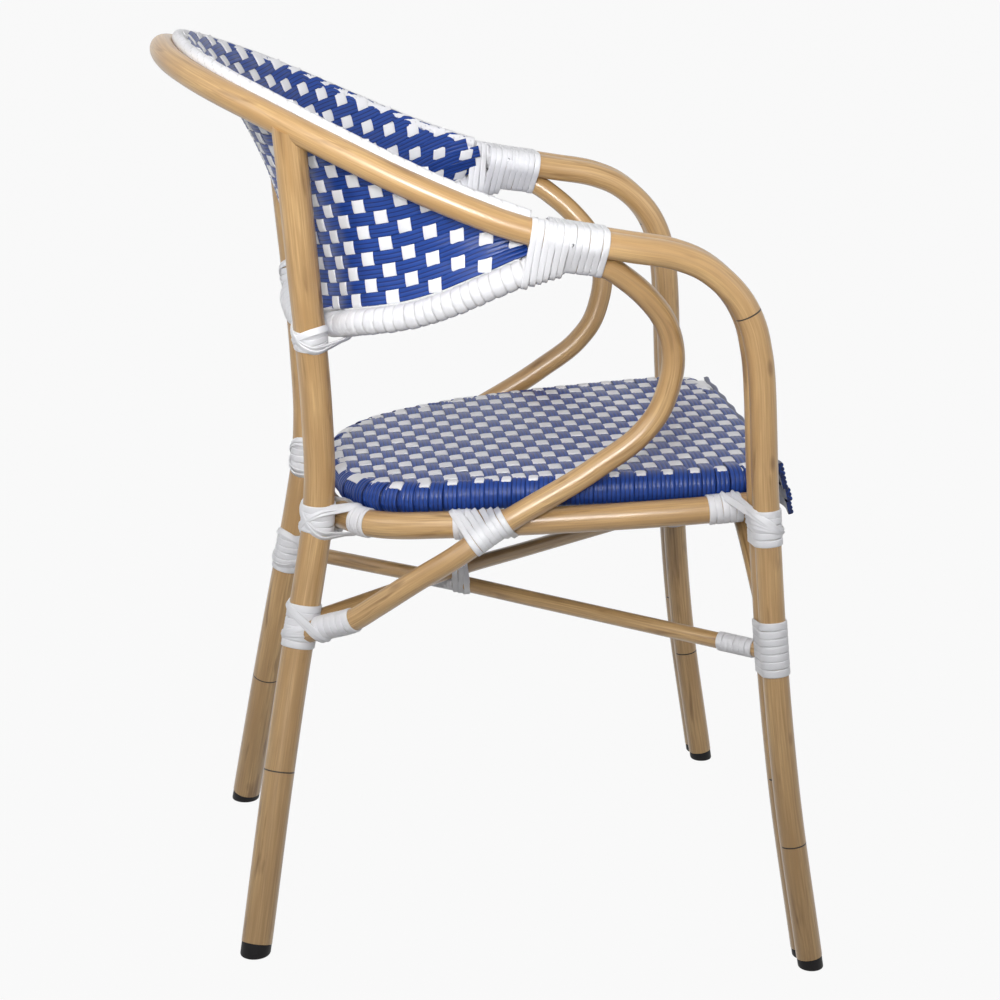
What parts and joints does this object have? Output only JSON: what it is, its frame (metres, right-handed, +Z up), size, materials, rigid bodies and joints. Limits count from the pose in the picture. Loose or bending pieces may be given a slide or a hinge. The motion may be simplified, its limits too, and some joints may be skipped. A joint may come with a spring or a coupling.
{
  "type": "rattan bistro armchair",
  "caption": "Bistro armchair of bent tubes with scroll braces under the arms, a woven seat and a curved woven back, tied with white strand.",
  "frame": {"origin": "on the floor, in the middle of the chair's width and depth", "axes": "+Z up; -Y the way the sitter faces; +X the sitter's left"},
  "size_m": [0.5852, 0.5918, 0.834],
  "materials": {
    "bamboo_tube": "thin tube with a lacquered printed cane look, honey coloured with faint grain",
    "white_strand": "semi-gloss flat strand",
    "blue_weave": "ribbed semi-gloss strand, woven with white",
    "black_cap": "moulded, slightly domed"
  },
  "bodies": {
    "root": {"arm_outer_right": "bamboo_tube", "arm_inner_right": "bamboo_tube", "foot_cap_outer_right": "black_cap", "foot_cap_inner_right": "black_cap", "foot_cap_back_right": "black_cap", "back_leg_right": "bamboo_tube", "scroll_brace_right": "bamboo_tube", "arm_outer_left": "bamboo_tube", "arm_inner_left": "bamboo_tube", "foot_cap_outer_left": "black_cap", "foot_cap_inner_left": "black_cap", "foot_cap_back_left": "black_cap", "back_leg_left": "bamboo_tube", "scroll_brace_left": "bamboo_tube", "back_hoop": "bamboo_tube", "seat_rail": "bamboo_tube", "front_cross_rail": "bamboo_tube", "stretcher_lower": "bamboo_tube", "stretcher_upper": "bamboo_tube", "front_arch_brace": "bamboo_tube", "seat_frame": "blue_weave", "seat_weave": "blue_weave", "seat_apron": "blue_weave", "back_lower_rail": "white_strand", "back_edge_rod": "white_strand", "back_weave": "blue_weave", "arm_wrap_right": "white_strand", "lash_leg_seat_right": "white_strand", "lash_rail_leg_right": "white_strand", "lash_leg_back_right": "white_strand", "lash_leg_brace_right": "white_strand", "lash_brace_leg_right": "white_strand", "lash_brace_rail_right": "white_strand", "lash_rail_brace_right": "white_strand", "lash_post_seat_right": "white_strand", "lash_rail_post_right": "white_strand", "lash_post_foot_right": "white_strand", "lash_stretcher_right": "white_strand", "arm_wrap_left": "white_strand", "lash_leg_seat_left": "white_strand", "lash_rail_leg_left": "white_strand", "lash_leg_back_left": "white_strand", "lash_leg_brace_left": "white_strand", "lash_brace_leg_left": "white_strand", "lash_brace_rail_left": "white_strand", "lash_rail_brace_left": "white_strand", "lash_post_seat_left": "white_strand", "lash_rail_post_left": "white_strand", "lash_post_foot_left": "white_strand", "lash_stretcher_left": "white_strand", "lash_stretchers_middle": "white_strand"}
  },
  "joints": []
}
